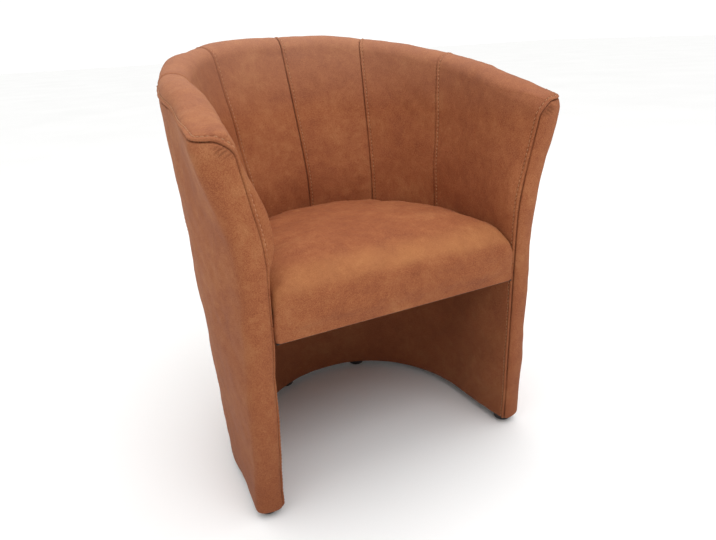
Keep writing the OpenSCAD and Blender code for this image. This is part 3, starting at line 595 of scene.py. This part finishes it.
# seat: a crowned pad, full at the front edge, filled by a short cloth simulation
seat = dict(
    clear=.8, setback=4, low=338, edge=428, frontEdge=382, crown=455, crownShare=.52, roundFront=3, roundBack=1.9,
    cornerShare=.8, puff=6, frontSteps=54, width=640, step=4, ringPoints=420, wallRings=14, topRings=40, voxel=5,
    # rounding of the upright front corners, its share at the foot, its reach and how far back a corner is looked for
    cornerRound=8, cornerLow=.3, cornerReach=35, cornerDeep=30,
    # the filling: pressure, largest move, frames, and where the underside, the walls and the back hold it
    pressure=4, cap=3, frames=20, held=(2, 26), heldAcross=(.84, .93), heldBehind=(50, 80),
    # slow and quick hollows, the creases behind, and how far the rear of the top is pressed down
    slowLift=.6, slowWave=70, quickLift=.2, quickWave=22, seed=31,
    creaseLift=.35, creases=48, creaseBend=2, creaseWave=120, creaseFrom=(.6, .85), creaseBehind=(-20, 60),
    rearSink=5, sinkBehind=(-110, 20), sinkHigh=(390, 415),
    # the open underside, and half the pad's width, half its depth and its rear radius
    hollow=8, hemWidth=14, hemSoft=(4, 2), halfWide=217, halfDeep=183, rearDeep=230,
    # the painted highlight over the front edge: where it starts and ends behind the edge, and above the floor
    highlightFrom=(5, 17), highlightTo=(24, 72), highlightHigh=(380, 405), highlightWave=90, highlightRipple=.15,
)


def seatRing(share, cols):
    q = np.abs(cols)
    top = mix(seat["edge"], seat["frontEdge"],
              np.maximum(0, (q - seat["cornerShare"]) / (1 - seat["cornerShare"])) ** 2)
    z = mix(seat["low"], top, share)
    sides = place(lapOf(cols, z, seat["setback"]), z, -seat["clear"] + 0 * z)
    t = np.arange(1, seat["frontSteps"]) / seat["frontSteps"]
    z = np.full(len(t), mix(seat["low"], seat["frontEdge"], share))
    right = place(lapOf(np.ones(len(t)), z, seat["setback"]), z, -seat["clear"] + 0 * z)
    front = np.stack([mix(right[:, 0], -right[:, 0], t),
                      right[:, 1] - seat["puff"] * share * (1 - (2 * t - 1) ** 4), z], -1)
    return roundedRing(np.concatenate([sides, front]), share)


def roundedRing(ring, share):
    # evenly spaced points, with the two upright front corners rounded
    closed, count = np.concatenate([ring, ring[:1]]), seat["ringPoints"]
    along = lengthAlong(closed)
    at = np.linspace(0, along[-1], count + 1)[:-1]
    ring = np.stack([np.interp(at, along, closed[:, k]) for k in range(3)], -1)
    width = seat["cornerRound"] * mix(seat["cornerLow"], 1, share) / (along[-1] / count)
    reachOut = int(3 * width) + 1
    softer = sum(math.exp(-(k / width) ** 2 / 2) * np.roll(ring, k, 0) for k in range(-reachOut, reachOut + 1))
    softer /= sum(math.exp(-(k / width) ** 2 / 2) for k in range(-reachOut, reachOut + 1))
    frontY = ring[:, 1].min()
    sideX = np.abs(ring[ring[:, 1] < frontY + seat["cornerDeep"]][:, 0]).max()
    away = np.hypot(np.abs(ring[:, 0]) - sideX, ring[:, 1] - frontY)
    return mix(ring, softer, bell(away, seat["cornerReach"], 4)[:, None])


def seatPad():
    half = spaced(seat["width"], "open", "open", seat["step"])
    cols = np.concatenate([-half[::-1][:-1], half])
    rings = [seatRing(share, cols) for share in np.linspace(0, 1, seat["wallRings"])]
    edge, crown = rings[-1], seat["crown"]
    backY = shell["roundY"] + withHeight("inDeep", seat["edge"])
    frontY = shell["roundY"] - reach(seat["frontEdge"])
    crownY = mix(shell["roundY"] - reach(seat["edge"]), backY, seat["crownShare"])
    n = mix(seat["roundBack"], seat["roundFront"], np.clip((crownY - edge[:, 1]) / (crownY - frontY), 0, 1))
    for rho in np.cos(np.linspace(0, np.pi / 2, seat["topRings"]))[1:-1]:
        rings.append(np.stack([edge[:, 0] * rho, mix(crownY, edge[:, 1], rho),
                               edge[:, 2] + (crown - edge[:, 2]) * (1 - rho ** n) ** (1 / n)], -1))
    count, tip = len(edge), len(rings) * len(edge)
    spots = np.concatenate(rings + [[[0, crownY, crown], [0, crownY, seat["low"]]]])
    ahead = [(i + 1) % count for i in range(count)]
    faces = [(r * count + i, r * count + ahead[i], (r + 1) * count + ahead[i], (r + 1) * count + i)
             for r in range(len(rings) - 1) for i in range(count)]
    faces += [(tip - count + i, tip - count + ahead[i], tip) for i in range(count)]
    faces += [(ahead[i], i, tip + 1) for i in range(count)]
    piece = addObject("seatPad", closedMesh("seatPad", spots * mm, faces))
    remesh = piece.modifiers.new("voxels", "REMESH")
    remesh.mode, remesh.voxel_size = "VOXEL", seat["voxel"] * mm
    bake(piece)
    fillPad(piece)
    rounding = piece.modifiers.new("rounding", "SUBSURF")
    rounding.levels = rounding.render_levels = 1
    bake(piece)
    shapeTop(piece, crownY)
    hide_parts("seat_cover", "seat_foam")
    coverPieces.append(piece)


def shapeTop(piece, crownY):
    # soft hollows in the cover, creases drawn down behind, and the open underside
    mesh, seed, low = piece.data, seat["seed"], seat["low"]
    spots, normals = readPoints(mesh) / mm, readNormals(mesh)
    x, y, z = spots.T
    lift = seat["slowLift"] * ripple(spots, seat["slowWave"], seed)
    lift += seat["quickLift"] * ripple(spots, seat["quickWave"], seed + 1)
    radius = np.hypot(x / seat["halfWide"], (y - crownY) / seat["halfDeep"])
    bend = seat["creaseBend"] * ripple(spots, seat["creaseWave"], seed + 2)
    crease = np.sin(radius * seat["creases"] + bend)
    crease *= smooth(*seat["creaseFrom"], radius) * smooth(*seat["creaseBehind"], y)
    lift = (lift + seat["creaseLift"] * crease) * smooth(low + 4, low + 20, z)
    spots = spots + normals * lift[:, None]
    x, y, z = spots.T
    spots[:, 2] -= seat["rearSink"] * smooth(*seat["sinkBehind"], y) * smooth(*seat["sinkHigh"], z)
    fromSide = withHeight("inWide", low) / 2 - np.abs(x)
    behindEdge = y - y.min()
    rearShare = np.hypot(x / seat["halfWide"], np.maximum(y - shell["roundY"], 0) / seat["rearDeep"])
    fromBack = withHeight("inDeep", low) * (1 - rearShare)
    inside = np.minimum(np.minimum(fromSide, behindEdge), fromBack)
    under = smooth(seat["hemWidth"] - seat["hemSoft"][0], seat["hemWidth"] + seat["hemSoft"][1], inside)
    spots[:, 2] += seat["hollow"] * under * (z < low + 4)
    writePoints(mesh, spots * mm)
    setAttribute(mesh, "crease", 0 * lift)
    # painted highlight: the cover is paler where it bends over the front edge
    pale = smooth(*seat["highlightFrom"], behindEdge) * (1 - smooth(*seat["highlightTo"], behindEdge))
    pale *= smooth(*seat["highlightHigh"], spots[:, 2])
    ripples = seat["highlightRipple"] * ripple(spots, seat["highlightWave"], seed + 3)
    setAttribute(mesh, "pale", pale * (1 - seat["highlightRipple"] + ripples))


def fillPad(piece):
    rest = readPoints(piece.data)
    held = piece.vertex_groups.new(name="held")
    for i, weight in enumerate(1 - smooth(*seat["held"], rest[:, 2] / mm - seat["low"])):
        held.add([i], float(weight), "REPLACE")
    cloth = piece.modifiers.new("fill", "CLOTH")
    cloth.settings.quality = 5
    cloth.settings.use_pressure = True
    cloth.settings.uniform_pressure_force = seat["pressure"]
    cloth.settings.vertex_group_mass = "held"
    cloth.settings.effector_weights.gravity = 0
    cloth.point_cache.frame_start, cloth.point_cache.frame_end = 1, seat["frames"]
    for step in range(1, seat["frames"] + 1):
        scene.frame_set(step)
    filled = readPoints(piece.evaluated_get(bpy.context.evaluated_depsgraph_get()).data)
    scene.frame_set(1)
    piece.modifiers.clear()
    piece.vertex_groups.clear()
    move = filled - rest
    move *= np.minimum(1, seat["cap"] * mm / np.maximum(np.linalg.norm(move, axis=1, keepdims=True), 1e-9))
    # the walls hold the sides and the back, so there the pad may only rise
    across = np.abs(rest[:, 0]) / mm / (withHeight("inWide", rest[:, 2] / mm) / 2)
    free = (1 - smooth(*seat["heldAcross"], across)) * (1 - smooth(*seat["heldBehind"], rest[:, 1] / mm))
    move[:, :2] *= free[:, None]
    writePoints(piece.data, rest + move)
    print("seat filled, largest move in mm:", round(float(np.linalg.norm(move, axis=1).max() / mm), 1))


seatPad()
print("seat made")


# threads of the topstitching: one arched stitch copied along the rows
def threadShape():
    length, thick = stitching["threadLength"] * mm, stitching["threadThick"] * mm
    rings, sides = 7, 6
    spots, faces = [], []
    for i in range(rings):
        t = i / (rings - 1)
        high = mix(-stitching["threadSink"], stitching["threadRise"] - stitching["threadThick"] / 2,
                   math.sin(math.pi * t) ** .6) * mm
        size = thick / 2 * (.55 + .45 * math.sin(math.pi * t))
        for k in range(sides):
            a = 2 * math.pi * k / sides
            spots.append(((t - .5) * length, size * 1.15 * math.cos(a), high + size * math.sin(a)))
    for i in range(rings - 1):
        for k in range(sides):
            a, b = i * sides + k, i * sides + (k + 1) % sides
            faces.append((a, a + sides, b + sides, b))
    faces.append(tuple(range(sides)))
    faces.append(tuple((rings - 1) * sides + k for k in reversed(range(sides))))
    return bpy.data.objects.new("threadShape", closedMesh("threadShape", spots, faces))


def colour(code):
    channels = [int(code[i:i + 2], 16) / 255 for i in (1, 3, 5)]
    return [c / 12.92 if c <= .04045 else ((c + .055) / 1.055) ** 2.4 for c in channels] + [1]


def add(tree, kind, inputs=None, out=0, stops=(), **settings):
    # an input takes a value, a colour code or another node's output
    made = tree.nodes.new(kind)
    for key, value in settings.items():
        setattr(made, key, value)
    for key, value in (inputs or {}).items():
        if isinstance(value, bpy.types.NodeSocket):
            tree.links.new(value, made.inputs[key])
        else:
            made.inputs[key].default_value = colour(value) if isinstance(value, str) and value[:1] == "#" else value
    if stops:
        band = made.color_ramp.elements
        while len(band) < len(stops):
            band.new(.5)
        for element, (at, code) in zip(band, stops):
            element.position, element.color = at, colour(code)
    return made.outputs[out] if len(made.outputs) else made


def stitchTree(material):
    tree = bpy.data.node_groups.new("stitches", "GeometryNodeTree")
    for name, kind in (("Geometry", "NodeSocketGeometry"), ("Stitch", "NodeSocketObject"),
                       ("Tilt", "NodeSocketFloat"), ("Seed", "NodeSocketInt")):
        tree.interface.new_socket(name, in_out="INPUT", socket_type=kind)
    tree.interface.new_socket("Geometry", in_out="OUTPUT", socket_type="NodeSocketGeometry")
    given = tree.nodes.new("NodeGroupInput").outputs
    along = add(tree, "GeometryNodeInputNamedAttribute", {"Name": "along"}, "Attribute", data_type="FLOAT_VECTOR")
    lift = add(tree, "GeometryNodeInputNamedAttribute", {"Name": "lift"}, "Attribute", data_type="FLOAT_VECTOR")
    lying = add(tree, "FunctionNodeAlignRotationToVector", {"Vector": along}, axis="X")
    upright = add(tree, "FunctionNodeAlignRotationToVector", {"Rotation": lying, "Vector": lift},
                  axis="Z", pivot_axis="X")
    back = add(tree, "ShaderNodeMath", {0: given["Tilt"], 1: -1}, operation="MULTIPLY")
    spin = add(tree, "FunctionNodeRandomValue", {2: back, 3: given["Tilt"], "Seed": given["Seed"]}, 1)
    turn = add(tree, "FunctionNodeEulerToRotation", {0: add(tree, "ShaderNodeCombineXYZ", {"Z": spin})})
    tilted = add(tree, "FunctionNodeRotateRotation", {"Rotation": upright, "Rotate By": turn}, rotation_space="LOCAL")
    shape = add(tree, "GeometryNodeObjectInfo", {"Object": given["Stitch"]}, "Geometry")
    copies = add(tree, "GeometryNodeInstanceOnPoints",
                 {"Points": given["Geometry"], "Instance": shape, "Rotation": tilted})
    real = add(tree, "GeometryNodeRealizeInstances", {0: copies})
    dressed = add(tree, "GeometryNodeSetMaterial", {"Geometry": real, "Material": material})
    add(tree, "NodeGroupOutput", {0: dressed})
    return tree


def sewStitches(material):
    mesh = bpy.data.meshes.new("topstitching")
    mesh.from_pydata([tuple(s[0]) for s in stitchSpots], [], [])
    for k, name in ((1, "along"), (2, "lift")):
        layer = mesh.attributes.new(name, "FLOAT_VECTOR", "POINT")
        layer.data.foreach_set("vector", np.array([tuple(s[k]) for s in stitchSpots], dtype=np.float32).reshape(-1))
    piece = addObject("topstitching", mesh)
    tree = stitchTree(material)
    sewing = piece.modifiers.new("sewing", "NODES")
    sewing.node_group = tree
    named = {item.name: item.identifier for item in tree.interface.items_tree if item.in_out == "INPUT"}
    sewing[named["Stitch"]] = threadShape()
    sewing[named["Tilt"]] = stitching["tilt"]
    sewing[named["Seed"]] = stitching["seed"]
    bake(piece)
    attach(piece, "root")


def newMaterial(name, **fixed):
    material = bpy.data.materials.new(name)
    material.use_nodes = True
    tree = material.node_tree
    shader = tree.nodes["Principled BSDF"]
    for key, value in fixed.items():
        shader.inputs[key.replace("_", " ")].default_value = colour(value) if isinstance(value, str) else value
    return material, tree, shader, add(tree, "ShaderNodeTexCoord", None, "Object")


def wire(tree, shader, **sources):
    for key, source in sources.items():
        tree.links.new(source, shader.inputs[key.replace("_", " ")])


# noises of the cover: size in mm, detail, roughness and distortion
# the nap's real fibres are about .1 mm apart and the grain's pores about 1 mm: both are drawn coarser to show
coverLook = dict(
    cloud=(170, 4, .6, 0), patch=(48, 6, .62, .6), streak=(15, 4, .6, 0), fleck=(5, 4, .75, 0),
    grain=(2.6, 3, .6, 0), nap=(.9, 2, .5, 0), fold=(28, 3, .5, 0), pebble=(4.5, 4, .6, 0),
)


def coverMaterial():
    # brushed microfibre worn like nubuck: cloudy where the nap lies differently, dull, pale at grazing angles
    material, tree, shader, spot = newMaterial("cognac brushed microfibre", Specular_IOR_Level=.16, Sheen_Weight=.07,
                                               Sheen_Roughness=.45, Sheen_Tint="#E6C3A2")
    noise = {}
    for name, (size, detail, rough, twist) in coverLook.items():
        noise[name] = add(tree, "ShaderNodeTexNoise", {"Vector": spot, "Scale": 1000 / size, "Detail": detail,
                                                       "Roughness": rough, "Distortion": twist})
    tone = add(tree, "ShaderNodeMath", {0: noise["cloud"], 1: .32}, operation="MULTIPLY")
    for name, share in (("patch", .32), ("streak", .2), ("grain", .2)):
        tone = add(tree, "ShaderNodeMath", {0: noise[name], 1: share, 2: tone}, operation="MULTIPLY_ADD")
    base = add(tree, "ShaderNodeValToRGB", {"Fac": tone},
               stops=((.37, "#7C3D25"), (.46, "#904B2D"), (.54, "#A15C38"), (.64, "#B5764C")))
    worn = add(tree, "ShaderNodeMapRange", {"Value": noise["fleck"], "From Min": .36, "From Max": .28, "To Max": .45})
    fibres = add(tree, "ShaderNodeValToRGB", {"Fac": noise["nap"]}, stops=((.42, "#6E3823"), (.6, "#B97F54")))
    marks = []
    # painted shade in the seams and a painted highlight over the seat's front edge, read from the pieces' attributes
    for name, share in (("crease", .45), ("pale", .31)):
        mark = add(tree, "ShaderNodeAttribute", None, "Fac", attribute_name=name)
        marks.append(add(tree, "ShaderNodeMath", {0: mark, 1: share}, operation="MULTIPLY"))
    high = add(tree, "ShaderNodeSeparateXYZ", {0: spot}, "Z")
    # painted shade: the cover is darkened towards the floor
    low = add(tree, "ShaderNodeMapRange", {"Value": high, "From Min": .48, "From Max": 0, "To Max": .5})
    # painted sheen: the cover is paler high up on the rim
    paintedSheen = add(tree, "ShaderNodeMapRange", {"Value": high, "From Min": .62, "From Max": .77, "To Max": .26})
    layers = ((worn, "#6E3A22"),       # flecks where the nap is worn off
              (.42, fibres),           # fibres that lie light or dark
              (marks[0], "#562816"),   # painted shade in the seams' creases, needle holes, grooves and wrinkles
              (low, "#6B361F"),        # painted shade, darker near the floor
              (paintedSheen, "#C89C84"),        # painted sheen, paler high up round the rim
              (marks[1], "#C38A55"))   # painted highlight over the seat's front edge
    for share, tint in layers:
        base = add(tree, "ShaderNodeMix", {0: share, 6: base, 7: tint}, 2, data_type="RGBA")
    rough = add(tree, "ShaderNodeMath", {0: noise["patch"], 1: .3, 2: .62}, operation="MULTIPLY_ADD")
    bumped = add(tree, "ShaderNodeBump", {"Height": noise["fold"], "Distance": .5 * mm, "Strength": .5})
    for name, deep, strength in (("pebble", .22, .6), ("nap", .07, .5)):
        bumped = add(tree, "ShaderNodeBump", {"Height": noise[name], "Distance": deep * mm, "Strength": strength,
                                              "Normal": bumped})
    wire(tree, shader, Base_Color=base, Roughness=rough, Normal=bumped)
    return material


waveScale = 1000 * 2 * math.pi / 20   # at this scale a wave texture repeats every millimetre


def grainedMaterial(name, low, high, size, deep, rough, stretch=(1, 1, 1), plies=0.):
    # one noise gives the colour's change and the relief; its size and depth and the plies' spacing are in mm
    material, tree, shader, spot = newMaterial(name, Roughness=rough)
    pulled = add(tree, "ShaderNodeVectorMath", {0: spot, 1: stretch}, operation="MULTIPLY")
    grain = add(tree, "ShaderNodeTexNoise", {"Vector": pulled, "Scale": 1000 / size, "Detail": 5, "Roughness": .6})
    if plies:
        edges = add(tree, "ShaderNodeTexWave", {"Vector": spot, "Scale": waveScale / plies, "Distortion": .6},
                    bands_direction="Z")
        grain = add(tree, "ShaderNodeMix", {0: .35, 2: grain, 3: edges})
    shade = add(tree, "ShaderNodeValToRGB", {"Fac": grain}, stops=((.3, low), (.7, high)))
    relief = add(tree, "ShaderNodeBump", {"Height": grain, "Distance": deep * mm, "Strength": .6})
    wire(tree, shader, Base_Color=shade, Normal=relief)
    return material


def wovenMaterial(name, low, high, spacing):
    # two crossing sets of threads with their spacing in mm, under faint clouds 30 mm wide
    material, tree, shader, spot = newMaterial(name, Roughness=.85)
    ways = [add(tree, "ShaderNodeTexWave", {"Vector": spot, "Scale": waveScale / spacing}, bands_direction=way)
            for way in "XY"]
    weave = add(tree, "ShaderNodeMath", {0: ways[0], 1: ways[1]}, operation="MULTIPLY")
    cloud = add(tree, "ShaderNodeTexNoise", {"Vector": spot, "Scale": 1000 / 30, "Detail": 3})
    mixed = add(tree, "ShaderNodeMix", {0: .4, 2: weave, 3: cloud})
    shade = add(tree, "ShaderNodeValToRGB", {"Fac": mixed}, stops=((.2, low), (.8, high)))
    relief = add(tree, "ShaderNodeBump", {"Height": weave, "Distance": .3 * mm, "Strength": .8})
    wire(tree, shader, Base_Color=shade, Normal=relief)
    return material


def steelMaterial():
    # zinc plated: dull silver with faint clouds about 5 mm wide
    material, tree, shader, spot = newMaterial("zinc plated steel", Metallic=1)
    cloud = add(tree, "ShaderNodeTexNoise", {"Vector": spot, "Scale": 1000 / 5, "Detail": 4})
    shade = add(tree, "ShaderNodeValToRGB", {"Fac": cloud}, stops=((.3, "#8F9396"), (.7, "#B9BDC0")))
    rough = add(tree, "ShaderNodeMath", {0: cloud, 1: .25, 2: .25}, operation="MULTIPLY_ADD")
    wire(tree, shader, Base_Color=shade, Roughness=rough)
    return material


cover = coverMaterial()
# twisted, a little lighter than the cover
thread = grainedMaterial("brown polyester thread", "#A56D47", "#D6A478", size=.8, deep=.08, rough=.5)
for piece in coverPieces:
    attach(piece, "root")
    piece.data.materials.clear()
    piece.data.materials.append(cover)
sewStitches(thread)
alongGrain = (.08, 1, 1)   # the grain is drawn out along the boards
slotMaterials = {
    "cover": cover,
    # pale, with plies really 1.5 mm thick, drawn coarser to show
    "plywood": grainedMaterial("birch plywood", "#B08A5C", "#D8BD8F", size=9, deep=.15, rough=.68,
                               stretch=alongGrain, plies=2.9608),
    # long grain, sawn rough
    "timber": grainedMaterial("sawn pine", "#B98D57", "#D9B47E", size=9, deep=.15, rough=.7, stretch=alongGrain),
    # open cells, really about 1 mm, drawn coarser to show
    "foam": grainedMaterial("cream upholstery foam", "#C9B98C", "#E9DFBE", size=2.2, deep=.4, rough=.9),
    # ribbed strap, its threads really about 1 mm apart, drawn coarser to show
    "webbing": wovenMaterial("black elastic webbing", "#1B1A19", "#3B3835", spacing=4.3425),
    # pressed fibres, really far under 1 mm, drawn coarser to show
    "dust_cloth": wovenMaterial("black non-woven dust cloth", "#151515", "#2A2A29", spacing=2.1712),
    "steel": steelMaterial(),
    # matt, slightly scuffed
    "glide": grainedMaterial("black moulded nylon", "#141312", "#2B2927", size=3, deep=.05, rough=.5),
}
for name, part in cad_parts.items():
    for slot in part.material_slots:
        old = slot.material.name if slot.material else ""
        known = [made for key, made in slotMaterials.items() if old.startswith(key)]
        if known:
            slot.material = known[0]
print("materials made, stitches sewn:", len(stitchSpots))


# camera as in the picture, white floor, soft studio light
view = dict(place=(-.4450, -1.0060, .7639), yaw=25.921, down=22.045, roll=-2.9485, focal=575.18, width=716, sensor=36)
studio = dict(
    side=.2, above=1.38, backdrop=1.1, floorLow="#FAFAF9", floorHigh="#FEFEFD", floorEnd=30,
    # name: place, aim, size, watts, colour
    lights={"frontLight": ((.3, -1.9, 2.7), (0, .1, .6), (1.6, 1.2), 17, "#FAFAFF"),
            "topLight": ((0, .2, 2.6), (0, 0, .4), (2.2, 2.2), 11, "#FFFFFF"),
            "sideLight": ((2.2, -1.2, 1.5), (0, 0, .4), (1.5, 1.5), 3, "#FFFFFF")},
)


def addCamera():
    yaw, down, roll = (math.radians(view[k]) for k in ("yaw", "down", "roll"))
    ahead = Vector((math.sin(yaw) * math.cos(down), math.cos(yaw) * math.cos(down), -math.sin(down)))
    right = Vector((math.cos(yaw), -math.sin(yaw), 0))
    up = right.cross(ahead)
    across = right * math.cos(roll) + up * math.sin(roll)
    above = up * math.cos(roll) - right * math.sin(roll)
    lens = bpy.data.cameras.new("pictureCamera")
    lens.sensor_width, lens.lens = view["sensor"], view["sensor"] * view["focal"] / view["width"]
    camera = addObject("pictureCamera", lens)
    camera.matrix_world = Matrix((across, above, -ahead)).transposed().to_4x4()
    camera.location = view["place"]
    scene.camera = camera


def addLight(name, at, aim, size, watts, tint):
    lamp = bpy.data.lights.new(name, "AREA")
    lamp.shape, lamp.size, lamp.size_y = "RECTANGLE", *size
    lamp.energy, lamp.color = watts, colour(tint)[:3]
    made = addObject(name, lamp)
    made.location = at
    made.rotation_euler = (Vector(aim) - Vector(at)).to_track_quat("-Z", "Y").to_euler()


def addFloor():
    mesh, end = bpy.data.meshes.new("studioFloor"), studio["floorEnd"]
    mesh.from_pydata([(-end, -end, 0), (end, -end, 0), (end, end, 0), (-end, end, 0)], [], [(0, 1, 2, 3)])
    floor = addObject("studioFloor", mesh)
    material, tree, shader, spot = newMaterial("white studio paper", Roughness=.9, Specular_IOR_Level=.1)
    cloud = add(tree, "ShaderNodeTexNoise", {"Vector": spot, "Scale": 1.1, "Detail": 3})
    shade = add(tree, "ShaderNodeValToRGB", {"Fac": cloud},
                stops=((.3, studio["floorLow"]), (.7, studio["floorHigh"])))
    wire(tree, shader, Base_Color=shade)
    mesh.materials.append(material)


def addWorld():
    # soft light from all round, with a white backdrop behind the floor's edge
    world = bpy.data.worlds.new("studioWorld")
    scene.world = world
    world.use_nodes = True
    tree = world.node_tree
    tree.nodes["Background"].inputs["Color"].default_value = colour("#FFFFFF")
    high = add(tree, "ShaderNodeSeparateXYZ", {0: add(tree, "ShaderNodeTexCoord", None, "Generated")}, "Z")
    above = add(tree, "ShaderNodeMapRange", {"Value": high, "From Min": .1, "From Max": .9,
                                             "To Min": studio["side"], "To Max": studio["above"]})
    tree.links.new(above, tree.nodes["Background"].inputs["Strength"])
    seen = add(tree, "ShaderNodeBackground", {"Color": "#FFFFFF", "Strength": studio["backdrop"]})
    ray = add(tree, "ShaderNodeLightPath", None, "Is Camera Ray")
    both = add(tree, "ShaderNodeMixShader", {0: ray, 1: tree.nodes["Background"].outputs[0], 2: seen})
    tree.links.new(both, tree.nodes["World Output"].inputs["Surface"])


addCamera()
addWorld()
addFloor()
for name, values in studio["lights"].items():
    addLight(name, *values)

print("scene ready")
